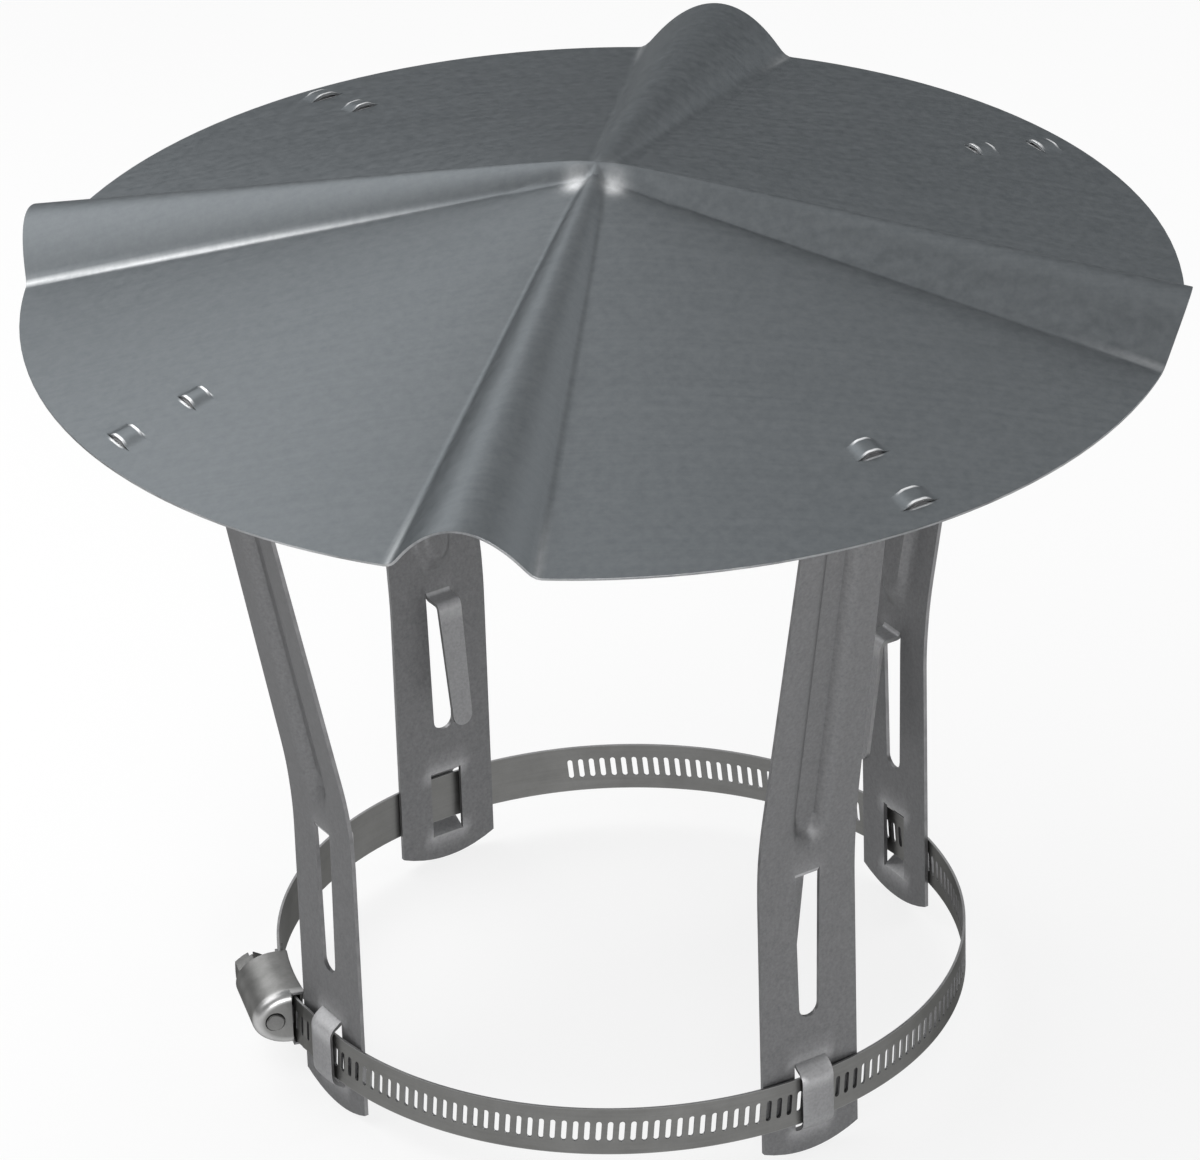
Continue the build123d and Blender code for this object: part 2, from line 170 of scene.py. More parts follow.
class Sheet:
    """A sheet-metal skin made of grids of points, seen from its outer face."""

    def __init__(self):
        self.points = []
        self.sheen_and_wear = []
        self.found = {}
        self.faces = []

    def point(self, place, sheen_and_wear):
        key = tuple(round(float(value), POINT_DIGITS) for value in place)
        if key not in self.found:
            self.found[key] = len(self.points)
            self.points.append(tuple(place))
            self.sheen_and_wear.append(sheen_and_wear)
        return self.found[key]

    def face(self, corners):
        ring = [c for i, c in enumerate(corners) if c != corners[i - 1]]
        if len(ring) > 2:
            self.faces.append(ring)

    def grid(self, rows, sheen_and_wear=None, closed=False, skip=None):
        """Quads between rows of points; skip says which cells are left open."""
        index = []
        for i, row in enumerate(rows):
            index.append([self.point(p, sheen_and_wear[i][j] if sheen_and_wear else 0.0) for j, p in enumerate(row)])
        for i in range(len(rows) - 1):
            count = len(rows[i])
            for j in range(count if closed else count - 1):
                if skip and skip(i, j):
                    continue
                k = (j + 1) % count
                self.face([index[i][j], index[i][k], index[i + 1][k], index[i + 1][j]])

    def solid(self, thickness, upright=0.0):
        """The skin thickened inward, or straight down near the axis: points, painted highlights and
        wear, faces, walls.
        """
        used = sorted({corner for ring in self.faces for corner in ring})
        new = {old: index for index, old in enumerate(used)}
        skin = [[new[corner] for corner in ring] for ring in self.faces]
        top = np.array(self.points)[used]
        normals = np.zeros_like(top)
        for ring in skin:
            corner = top[ring]
            normals[ring] += np.cross(corner, np.roll(corner, -1, axis=0)).sum(axis=0)
        normals /= np.linalg.norm(normals, axis=1)[:, None]
        normals[np.hypot(top[:, 0], top[:, 1]) < upright] = (0, 0, 1)
        count = len(top)
        edges = {(ring[i - 1], ring[i]) for ring in skin for i in range(len(ring))}
        faces = skin + [[count + c for c in reversed(ring)] for ring in skin]
        walls = [[a, count + a, count + b, b] for a, b in sorted(edges) if (b, a) not in edges]
        points = np.concatenate([top, top - normals * thickness])
        return points, [self.sheen_and_wear[old] for old in used] * 2, faces, walls


def mesh_piece(name, body, points, faces, materials, sheen_and_wear=None, walls=(), turn=0.0):
    """A smooth mesh piece in metres that rides on a body; walls take the second material."""
    c, s = math.cos(turn), math.sin(turn)
    spun = np.asarray(points) @ np.array([[c, s, 0], [-s, c, 0], [0, 0, 1]]) * MM
    mesh = bpy.data.meshes.new(name)
    mesh.from_pydata(spun.tolist(), [], [list(f) for f in [*faces, *walls]])
    mesh.polygons.foreach_set("material_index", [0] * len(faces) + [1] * len(walls))
    if sheen_and_wear is not None:
        mesh.attributes.new("sheen_and_wear", "FLOAT", "POINT").data.foreach_set("value", sheen_and_wear)
    for material in materials:
        mesh.materials.append(material)
    mesh.shade_smooth()
    mesh.set_sharp_from_angle(angle=math.radians(SHARP_DEG))
    piece = bpy.data.objects.new(name, mesh)
    bpy.context.scene.collection.objects.link(piece)
    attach(piece, body)
    return piece


def round_edges(piece, width, angle=EDGE_DEG):
    bevel = piece.modifiers.new("edges", "BEVEL")
    bevel.width = width * MM
    bevel.segments = 2
    bevel.limit_method = "ANGLE"
    bevel.angle_limit = math.radians(angle)
    bevel.harden_normals = True


# Materials


def node(tree, kind, **values):
    made = tree.nodes.new(kind)
    for name, value in values.items():
        if name in made.inputs:
            made.inputs[name].default_value = value
        else:
            setattr(made, name, value)
    return made


def ramp(tree, source, low, high, dark, light):
    """Maps a grey value between low and high to a value between dark and light."""
    made = node(tree, "ShaderNodeMapRange", clamp=True)
    for name, value in (("From Min", low), ("From Max", high), ("To Min", dark), ("To Max", light)):
        made.inputs[name].default_value = value
    tree.links.new(source, made.inputs["Value"])
    return made.outputs["Result"]


def mix_colour(tree, part, first, second):
    made = node(tree, "ShaderNodeMix", data_type="RGBA")
    for socket, value in ((6, first), (7, second)):
        if isinstance(value, tuple):
            made.inputs[socket].default_value = (*value, 1)
        else:
            tree.links.new(value, made.inputs[socket])
    tree.links.new(part, made.inputs[0])
    return made.outputs[2]


def steel(name, dark, light, sheen_and_worn, rough, metallic, grain_scale, grain_depth, cloud_scale,
          turn=0.0):
    """Zinc-coated or bare steel: cloudy tone, fine rolled grain, and a bright colour mixed in for
    painted highlights and worn metal.
    """
    material = bpy.data.materials.new(name)
    material.use_nodes = True
    tree = material.node_tree
    shader = tree.nodes["Principled BSDF"]
    shader.inputs["Metallic"].default_value = metallic
    shader.inputs["Specular Tint"].default_value = (DULL_EDGE, DULL_EDGE, DULL_EDGE, 1)
    place = node(tree, "ShaderNodeTexCoord").outputs["Object"]
    along = node(tree, "ShaderNodeMapping", vector_type="TEXTURE")
    along.inputs["Rotation"].default_value = (0, 0, turn)
    along.inputs["Scale"].default_value = [1 / value for value in grain_scale]
    tree.links.new(place, along.inputs["Vector"])
    grain = node(tree, "ShaderNodeTexNoise", Scale=1.0, Detail=5.0, Roughness=0.6)
    tree.links.new(along.outputs["Vector"], grain.inputs["Vector"])
    cloud = node(tree, "ShaderNodeTexNoise", Scale=cloud_scale, Detail=4.0, Roughness=0.65)
    tree.links.new(place, cloud.inputs["Vector"])
    speckle = node(tree, "ShaderNodeTexNoise", Scale=SPECKLE_SCALE, Detail=2.0)
    tree.links.new(place, speckle.inputs["Vector"])
    fine = node(tree, "ShaderNodeMath", operation="MULTIPLY_ADD")
    tree.links.new(speckle.outputs["Fac"], fine.inputs[0])
    fine.inputs[1].default_value = SPECKLE_SHARE
    tree.links.new(grain.outputs["Fac"], fine.inputs[2])
    tone = node(tree, "ShaderNodeMath", operation="MULTIPLY_ADD")
    tree.links.new(fine.outputs[0], tone.inputs[0])
    tone.inputs[1].default_value = GRAIN_SHARE
    tree.links.new(cloud.outputs["Fac"], tone.inputs[2])
    colour = mix_colour(tree, ramp(tree, tone.outputs[0], *TONE_RANGE, 0, 1), dark, light)
    # the bright colour goes where the points carry painted highlights, and on the band's brighter
    # edges
    sheen_and_rub = node(tree, "ShaderNodeAttribute", attribute_name="sheen_and_wear")
    patch = node(tree, "ShaderNodeMath", operation="MULTIPLY")
    tree.links.new(sheen_and_rub.outputs["Fac"], patch.inputs[0])
    tree.links.new(ramp(tree, cloud.outputs["Fac"], *PATCH_RANGE, *PATCH_SHINE), patch.inputs[1])
    tree.links.new(mix_colour(tree, patch.outputs[0], colour, sheen_and_worn), shader.inputs["Base Color"])
    tree.links.new(ramp(tree, tone.outputs[0], *TONE_RANGE, *rough), shader.inputs["Roughness"])
    bump = node(tree, "ShaderNodeBump", Strength=grain_depth, Distance=GRAIN_HEIGHT)
    tree.links.new(tone.outputs[0], bump.inputs["Height"])
    tree.links.new(bump.outputs["Normal"], shader.inputs["Normal"])
    return material


# Dark, light and bright colour (for painted highlights and worn metal), roughness range, metal
# share, grain's scale and depth,
# clouds' scale and the grain's direction
galvanized = steel("galvanized_sheet", (0.142, 0.155, 0.164), (0.182, 0.196, 0.206),
                   (0.92, 0.93, 0.94), (0.49, 0.57), 0.9, ROLLED, 0.07, 420, GRAIN_TURN)
cut_edge = steel("cut_edge", (0.14, 0.145, 0.15), (0.5, 0.51, 0.52), (0.8, 0.8, 0.8),
                 (0.3, 0.4), 0.9, (60, 60, 60), 0.1, 40)
strip_steel = steel("galvanized_strip", (0.15, 0.151, 0.155), (0.215, 0.216, 0.22),
                    (0.55, 0.55, 0.56), (0.42, 0.54), 0.55, (900, 900, 500), 0.12, 1300)
strip_edge = steel("strip_edge", (0.2, 0.2, 0.205), (0.3, 0.3, 0.305), (0.5, 0.5, 0.5),
                   (0.35, 0.45), 0.9, (300, 300, 300), 0.1, 200)
band_steel = steel("band_steel", (0.17, 0.17, 0.165), (0.22, 0.22, 0.215), (0.5, 0.5, 0.5),
                   (0.34, 0.42), 0.95, (60, 60, 1500), 0.08, 60)
stamping = steel("stamped_steel", (0.2, 0.2, 0.197), (0.29, 0.29, 0.285), (0.6, 0.6, 0.6),
                 (0.3, 0.42), 0.95, (400, 400, 400), 0.12, 150)
screw_steel = steel("screw_steel", (0.15, 0.15, 0.15), (0.24, 0.24, 0.235), (0.5, 0.5, 0.5),
                    (0.32, 0.45), 0.95, (500, 500, 500), 0.2, 260)


# Roof


def on_ridge(x, y, bearing):
    """Places along and across a ridge's crest line."""
    place = complex(x, y) * cmath.exp(-1j * math.radians(bearing))
    return place.real, place.imag


def ridge_height(along, across, halves, rises):
    """A ridge's top: a round arch with straight skirts, blunt behind the apex."""
    part = max(along, 0.0) / ROOF_R
    off = abs(across) if along > 0 else math.hypot(across, along)
    half, rise = share(halves, part), share(rises, part)
    feet = APEX_Z - SLOPE * math.hypot(max(along, 0.0), max(half, CREST_ROUND))
    skirt = max(off / half - 1, 0.0)
    return feet + rise * (1 - min(off / half, 1.0) ** 2 - 2 * skirt)


def soft_max(first, second, blend):
    """The larger of two values, rounded over where they meet."""
    part = min(max(0.5 + 0.5 * (first - second) / blend, 0.0), 1.0)
    return second + (first - second) * part + blend * part * (1 - part)


def roof_height(x, y):
    """Height of the roof's outer face: the ridges over a plain cone."""
    radius = math.hypot(x, y)
    ridges = -math.inf
    for bearing, halves, rises in RIDGES:
        height = ridge_height(*on_ridge(x, y, bearing), halves, rises)
        ridges = height if ridges == -math.inf else soft_max(height, ridges, CREST_BLEND)
    return soft_max(ridges, APEX_Z - SLOPE * radius, share(FOOT_BLEND, min(radius / ROOF_R, 1)))


def roof_edge(angle):
    """Radius of the rim, which the ridges carry outward as they rise."""
    radius = ROOF_R
    for _ in range(6):
        height = roof_height(radius * math.cos(angle), radius * math.sin(angle))
        radius = ROOF_R + (height - RIM_Z) * SLOPE
    return radius


def roof_painted_highlights(x, y):
    """Painted highlights in the corners beside the apex and along the ridges' outer feet."""
    radius = math.hypot(x, y)
    sheen_and_wear = 0.0
    for quarter, (bearing, halves, _) in enumerate(RIDGES):
        angle = math.radians(90 * quarter)
        spot = math.hypot(x - CORNER_R * math.cos(angle), y - CORNER_R * math.sin(angle))
        # painted highlight in the corner beside the apex
        sheen_and_wear += CORNER_SHINE * math.exp(-((spot / CORNER_SPREAD) ** 2))
        along, across = on_ridge(x, y, bearing)
        if along > 0:
            foot = share(halves, radius / ROOF_R)
            reach = RIM_FOOT_SHINE * smooth(*RIM_FOOT, radius)
            if quarter == HIGHLIT_RIDGE:
                reach = smooth(*HIGHLIT_FOOT, radius)
            off = abs(across) - foot - FOOT_OUT
            # painted highlight along the ridge's outer foot
            sheen_and_wear += FOOT_SHINE * reach * math.exp(-((off / FOOT_SPREAD) ** 2))
    return min(sheen_and_wear, 1.0)


def joint_shine(part):
    """Strength of the painted highlight across a joint, from its middle at 0 to its side at 1."""
    return 1 - smooth(*JOINT_SHINE_FADE, part)


def lance_painted_highlight(radius, offset):
    """Painted highlights along the edges that a joint was cut from."""
    step = min(abs(radius - r) for r in JOINT_RADII) / JOINT_LEN
    bright = JOINT_STEPS[-1] - STEP_PLAY < step < JOINT_RIM[0] + STEP_PLAY
    return joint_shine(abs(offset) / JOINT_HALF_DEG) if bright else 0.0


def roof_columns():
    """Angles of the roof's columns, and each one's degrees from the middle of its quarter."""
    joint = JOINT_HALF_DEG * np.array(JOINT_COLUMNS)
    half = np.concatenate([joint, np.arange(*FLAT_COLUMNS), np.arange(*RIDGE_COLUMNS), [45]])
    quarter = np.concatenate([-half[:0:-1], half[:-1]])
    angles = np.radians(np.concatenate([quarter + 90 * turn for turn in range(4)]))
    return angles, np.tile(quarter, 4)


def roof_rings():
    """Radii of the roof's rings, close together at the apex and round the joints."""
    rim = [side * step for side in (-1, 1) for step in JOINT_RIM]
    cuts = [r + step * JOINT_LEN for r in JOINT_RADII for step in (*rim, *JOINT_STEPS)]
    return sorted([*np.arange(*APEX_RINGS), *np.arange(*SLOPE_RINGS), *cuts, *RIM_RINGS, ROOF_R])


def make_roof():
    """The pressed roof, its rings laid from the rim inward and its joints bridged."""
    angles, offsets = roof_columns()
    radii = roof_rings()
    edges = [roof_edge(a) for a in angles]

    def place(column, radius, raised=0.0):
        r = radius / ROOF_R * edges[column]
        x, y = r * math.cos(angles[column]), r * math.sin(angles[column])
        return x, y, roof_height(x, y) + raised

    def inside_joint(i, j):
        middle = (radii[i] + radii[i + 1]) / 2
        near = any(abs(middle - r) < JOINT_LEN / 2 for r in JOINT_RADII)
        return near and max(abs(offsets[j]), abs(offsets[(j + 1) % len(offsets)])) <= JOINT_HALF_DEG

    sheet = Sheet()
    rows = [[place(j, r) for j in range(len(angles))] for r in radii]
    # painted highlights on the roof: corners by the apex, ridge feet and the joints' cut edges
    sheen_and_wear = [[roof_painted_highlights(p[0], p[1]) + lance_painted_highlight(r, offsets[j]) for j, p in enumerate(row)]
            for r, row in zip(radii, rows)]
    sheet.grid(list(reversed(rows)), list(reversed(sheen_and_wear)), True,
               lambda i, j: inside_joint(len(radii) - 2 - i, j))
    apex = sheet.point((0, 0, roof_height(0, 0)), 0.0)
    inner = [sheet.point(p, 0.0) for p in rows[0]]
    for j in range(len(inner)):
        sheet.face([inner[j], inner[(j + 1) % len(inner)], apex])
    for radius in JOINT_RADII:
        for turn in range(4):
            columns = [j for j in range(len(angles))
                       if abs(offsets[j]) <= JOINT_HALF_DEG and j * 4 // len(angles) == turn]
            reach = [abs(offsets[j]) / JOINT_HALF_DEG for j in columns]
            lifts = [JOINT_RISE * (1 - smooth(*ROOF_LIFT_FADE, part)) for part in reach]
            bridge, highlit = [], []
            for step in reversed(JOINT_STEPS):
                bridge.append([place(j, radius + step * JOINT_LEN, lift)
                               for j, lift in zip(columns, lifts)])
                # the bridge's outer rows carry a painted highlight
                bright = abs(step) > BRIGHT_STEP
                highlit.append([joint_shine(part) * bright for part in reach])
            sheet.grid(bridge, highlit)
    points, sheen_and_wear, faces, walls = sheet.solid(ROOF_T, CREST_ROUND)
    piece = mesh_piece("roof_sheet", "cap", points, faces,
                       [galvanized, cut_edge], sheen_and_wear, walls)
    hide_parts("roof")
    round_edges(piece, ROOF_EDGE)


# Legs


class BentLine:
    """A line in radius and height with rounded corners, walked by its length."""

    def __init__(self, points, radii):
        self.runs = []
        place = complex(*points[0])
        for i in range(1, len(points)):
            corner = complex(*points[i])
            ahead = (corner - place) / abs(corner - place)
            if i == len(points) - 1:
                self.runs.append((abs(corner - place), place, ahead, 0.0))
                break
            after = complex(*points[i + 1]) - corner
            turn = cmath.phase(after / ahead)
            trim = radii[i - 1] * math.tan(abs(turn) / 2)
            self.runs.append((abs(corner - place) - trim, place, ahead, 0.0))
            self.runs.append((radii[i - 1] * abs(turn), corner - ahead * trim, ahead,
                              math.copysign(1 / radii[i - 1], turn)))
            place = corner + after / abs(after) * trim
        self.ends = np.cumsum([run[0] for run in self.runs])
        self.length = self.ends[-1]

    def at(self, length):
        """Place and heading after a length, as complex numbers."""
        i = min(int(np.searchsorted(self.ends, length)), len(self.runs) - 1)
        size, place, ahead, bend = self.runs[i]
        gone = length - (self.ends[i] - size)
        if not bend:
            return place + ahead * gone, ahead
        swing = cmath.exp(1j * bend * gone)
        return place + ahead * (swing - 1) / (1j * bend), ahead * swing

    def stations(self, steps):
        """Lengths that divide each run into its number of steps."""
        runs = zip([0, *self.ends[:-1]], self.ends, steps)
        inner = [share((a, b), k / n) for a, b, n in runs for k in range(n)]
        return inner + [self.length]


def round_end(depth, radius):
    """Half the width of a round end at a depth from its tip."""
    return math.sqrt(max(radius**2 - max(radius - depth, 0.0) ** 2, 0.0))


SEAT_SAG = SLOPE * (math.hypot(SEAT_R, LEG_TOP_W / 2) - SEAT_R) + FLANGE_GAP
FLANGE_TOP = APEX_Z - ROOF_T * math.hypot(1, SLOPE) - SEAT_SAG
SEAT_Z = FLANGE_TOP - SLOPE * SEAT_R
SLOT_TOP = BEND_Z - SLOT_TOP_GAP
WEB_Z = SLOT_TOP + LEG_T / 2
STRAP_HALF = BAND_W / 2 + STRAP_ROOM + STRAP_SLOPE
WINDOW = (BAND_Z - STRAP_HALF, BAND_Z + STRAP_HALF)
TONGUE = (-1, -0.88, -0.74, -0.57, -0.3, 0, 0.3, 0.57, 0.74, 0.88, 1)    # points across the hook


def leg_line():
    """The middle of a leg's thickness, from its tip to the end of its flange."""
    mid = LEG_T / 2 * math.hypot(1, SLOPE)
    end = (FLANGE_END_R, FLANGE_TOP - SLOPE * FLANGE_END_R - mid)
    return BentLine([(LEG_X, 0), (LEG_X, BEND_Z), (SEAT_R, SEAT_Z - mid), end],
                    (BEND_R, SEAT_BEND_R))


def slot_half(z):
    """Half the width of the hook's slot at a height; its full width beyond its ends."""
    depth = z - (SLOT_TOP - SLOT_LEN)
    end_r = SLOT_END_W / 2
    if depth < -0.01 or z > SLOT_TOP:
        return SLOT_W / 2
    if depth < end_r:
        return round_end(depth, end_r)
    return share((end_r, SLOT_W / 2), (depth - end_r) / (SLOT_LEN - end_r))


def leg_half(z):
    """Half the width of a leg at a height; it tapers above the bend."""
    part = min(max((z - BEND_Z) / (SEAT_Z - BEND_Z), 0.0), 1.0)
    return share((LEG_W, LEG_TOP_W), part) / 2


def leg_columns(z):
    """Places across a leg, following its edges, the strap's window and the slot."""
    edge, window = leg_half(z), STRAP_W / 2
    side = [edge, *(share((window, edge), part) for part in SIDE_PARTS),
            window, share((SLOT_W / 2, window), SLOT_PART)]
    return [-y for y in side] + [slot_half(z) * part for part in TONGUE] + side[::-1]


def rib_depth(line, length, y):
    """Depth of the pressed rib: a flat floor, and walls that flatten outward."""
    low = BEND_Z + RIB_LOW_GAP + RIB_FLOOR / RIB_END_SOFT
    high = line.ends[2] - RIB_HIGH_GAP - RIB_FLOOR
    off = math.hypot(y, RIB_END_SOFT * max(low - length, 0.0), max(length - high, 0.0))
    part = min(max((off - RIB_FLOOR) / (RIB_EDGE - RIB_FLOOR), 0.0), 1.0)
    return RIB_DEPTH * (1 - part) ** 2


def leg_painted_highlights(z, y):
    """Painted highlights round the strap's roots and the hook's top."""
    root = min(abs(z - WINDOW[0]), abs(z - WINDOW[1]))
    sheen_and_wear = ROOT_SHINE * math.exp(-((root / ROOT_SPREAD) ** 2)) * (1 - smooth(*ROOT_SIDE, abs(y)))
    web = math.exp(-(((z - WEB_Z - WEB_UP) / WEB_SPREAD) ** 2))
    sheen_and_wear += WEB_SHINE * web * (1 - smooth(*WEB_SIDE, abs(y)))
    return min(sheen_and_wear, 1.0)


def leg_point(line, length, y, push=0.0):
    """A point of the leg's outer face; the lower end is bowed."""
    place, ahead = line.at(length)
    outer = place - 1j * ahead * (LEG_T / 2 + push)
    bow_r = ((LEG_W / 2) ** 2 + TIP_SAG**2) / (2 * TIP_SAG)
    bow = (bow_r - math.sqrt(bow_r**2 - y**2)) * max(1 - length / WINDOW[0], 0.0)
    return outer.real, y, outer.imag + bow


def joint_lengths(line):
    """Walked lengths of the clinched joints' middles on the flange."""
    seat = line.ends[3]
    start = line.at(seat)[0].real
    return [seat + (r - start) * math.hypot(1, SLOPE) for r in JOINT_RADII]


def leg_rows(line):
    """Walked lengths of the rows of points, close together where the leg changes."""
    slot_low = SLOT_TOP - SLOT_LEN
    rows = [*TIP_ROWS, *WINDOW, WINDOW[0] + WINDOW_STEP, BAND_Z, WINDOW[1] - WINDOW_STEP]
    rows += [*LOW_ROWS, slot_low - SLOT_LEAD]
    rows += [slot_low + SLOT_END_W / 2 * step for step in ROUND_STEPS]
    rows += [*SLOT_ROWS, SLOT_TOP, WEB_Z + HOOK_BEND_R, NECK_ROW]
    rows += list(np.linspace(line.ends[0], line.ends[1], 7))
    rib_low, rib_high = BEND_Z + RIB_LOW_GAP, line.ends[2] - RIB_HIGH_GAP
    rows += [rib_low + step for step in RIB_LOW_STEPS]
    rows += list(np.linspace(rib_low + RIB_MIDDLE, rib_high - RIB_MIDDLE, 9))
    rows += [rib_high - step for step in RIB_HIGH_STEPS]
    rows += list(np.linspace(line.ends[2], line.ends[3], 6))
    for middle in joint_lengths(line):
        rows += [middle + JOINT_CUT * step for step in JOINT_STEPS]
    return sorted([*rows, line.ends[3] + SEAT_STEP, line.length - END_STEP, line.length])


def add_strap(sheet, columns):
    """The bridge pushed out of the leg for the band."""
    out = BAND_R + BAND_T + STRAP_PLAY + LEG_T / 2
    low, high = WINDOW
    corners = [(LEG_X, low), (out, low + STRAP_SLOPE), (out, high - STRAP_SLOPE), (LEG_X, high)]
    line = BentLine(corners, (STRAP_BEND_R, STRAP_BEND_R))
    rows, sheen_and_wear = [], []
    stops = line.stations((3, 5, 6, 5, 3))
    for length in stops:
        place, ahead = line.at(length)
        skin = place - 1j * ahead * LEG_T / 2
        if length in (stops[0], stops[-1]):
            skin = complex(LEG_X + LEG_T / 2, place.imag)
        crown = STRAP_CROWN * (place.real - LEG_X) / (out - LEG_X)
        rows.append([(skin.real + crown * (1 - (2 * y / STRAP_W) ** 4), y, skin.imag)
                     for y in columns])
        # painted brightening over the whole strap, with painted highlights at its top and foot
        # bends
        top = math.exp(-(((place.imag - high + STRAP_SLOPE) / STRAP_TOP[1]) ** 2))
        foot = math.exp(-(((place.imag - low - STRAP_SLOPE) / STRAP_FOOT[1]) ** 2))
        sheen_and_wear.append([STRAP_SHINE + STRAP_TOP[0] * top + STRAP_FOOT[0] * foot for _ in columns])
    sheet.grid(rows, sheen_and_wear)


def add_hook(sheet, flare):
    """The tab lanced out of the slot: over the pipe's rim, then down inside it."""
    end_z = WEB_Z - (SLOT_LEN - HOOK_REACH)
    inside = LEG_X - HOOK_REACH
    corners = [(LEG_X, WEB_Z + HOOK_BEND_R + HOOK_START), (LEG_X, WEB_Z), (inside, WEB_Z),
               (inside - flare, end_z)]
    line = BentLine(corners, (HOOK_BEND_R, HOOK_BEND_R))
    end_r = SLOT_END_W / 2 - HOOK_PLAY
    tip = [line.length - end_r * step for step in ROUND_STEPS[:0:-1]]
    # The tiny straight start and the round tip's last steps get no rows from here
    stops = [s for s in line.stations((1, 6, 2, 6, 8))
             if s == 0 or 10 * HOOK_START < s < tip[0] - 1 or s == line.length]
    rows, sheen_and_wear = [], []
    for length in sorted(stops + tip):
        place, ahead = line.at(length)
        skin = place + 1j * ahead * LEG_T / 2
        part = min(length / line.length, 1.0)
        half = share((SLOT_W / 2 - HOOK_PLAY, end_r), part)
        left = line.length - length
        if left < end_r:
            half = round_end(left, end_r)
        row = [(skin.real, half * step, skin.imag) for step in TONGUE]
        if length == 0:
            row = [leg_point(leg_line(), WEB_Z + HOOK_BEND_R, SLOT_W / 2 * step) for step in TONGUE]
        rows.append(row)
        # painted highlight at the hook's bend, and a weaker painted brightening beyond it
        highlit = HOOK_SHINE * (1 - smooth(*HOOK_FADE, length))
        sheen_and_wear.append([max(highlit, HOOK_DULL) for _ in TONGUE])
    sheet.grid(rows[::-1], sheen_and_wear[::-1])


def leg_sheet(flare):
    """A whole leg with its strap, hook and joints, thickened."""
    line = leg_line()
    lengths = leg_rows(line)
    heights = [line.at(s)[0].imag for s in lengths]
    columns = [leg_columns(z) for z in heights]
    rows = [[leg_point(line, s, y, -rib_depth(line, s, y)) for y in across]
            for s, across in zip(lengths, columns)]
    # painted highlights at the strap's roots and over the hook's top
    sheen_and_wear = [[leg_painted_highlights(p[2], p[1]) if p[2] < BEND_Z else 0.0 for p in row] for row in rows]
    side = SIDE_POINTS
    joints = joint_lengths(line)

    def open_cell(i, j):
        middle = (lengths[i] + lengths[i + 1]) / 2
        in_window = side - 2 <= j < len(columns[i]) - side + 1
        if WINDOW[0] < middle < WINDOW[1] or any(abs(middle - s) < JOINT_CUT / 2 for s in joints):
            return in_window
        in_slot = side <= j < len(columns[i]) - side - 1
        return in_slot and SLOT_TOP - SLOT_LEN < middle < WEB_Z + HOOK_BEND_R

    sheet = Sheet()
    sheet.grid(rows, sheen_and_wear, False, open_cell)
    inner = columns[0][side - 2:len(columns[0]) - side + 2]
    add_strap(sheet, inner)
    add_hook(sheet, flare)
    lifts = [(JOINT_RISE + SEAT_SAG) * (1 - smooth(*LEG_LIFT_FADE, abs(y))) for y in inner]
    for middle in joints:
        sheet.grid([[leg_point(line, middle + step * JOINT_CUT, y, -up)
                     for y, up in zip(inner, lifts)] for step in JOINT_STEPS])
    return sheet.solid(LEG_T)


def make_legs():
    """The four legs; the left one's hook stands straight down."""
    for name, degrees, flare in (("right", 0, HOOK_FLARE), ("back", 90, HOOK_FLARE),
                                 ("left", 180, 0.0), ("front", 270, HOOK_FLARE)):
        points, sheen_and_wear, faces, walls = leg_sheet(flare)
        piece = mesh_piece(f"strip_leg_{name}", "cap", points, faces,
                           [strip_steel, strip_edge], sheen_and_wear, walls, math.radians(degrees))
        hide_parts(f"leg_{name}")
        round_edges(piece, LEG_EDGE)


# Clamp band


def band_radius(degrees):
    """Radius of the band's outer face: on the lap, then down onto the loop."""
    lap, loop = LAP_R + BAND_T, BAND_R + BAND_T
    return share((lap, loop), smooth(MOUTH_DEG - 360, MOUTH_DEG - 360 + JOGGLE_DEG, degrees))


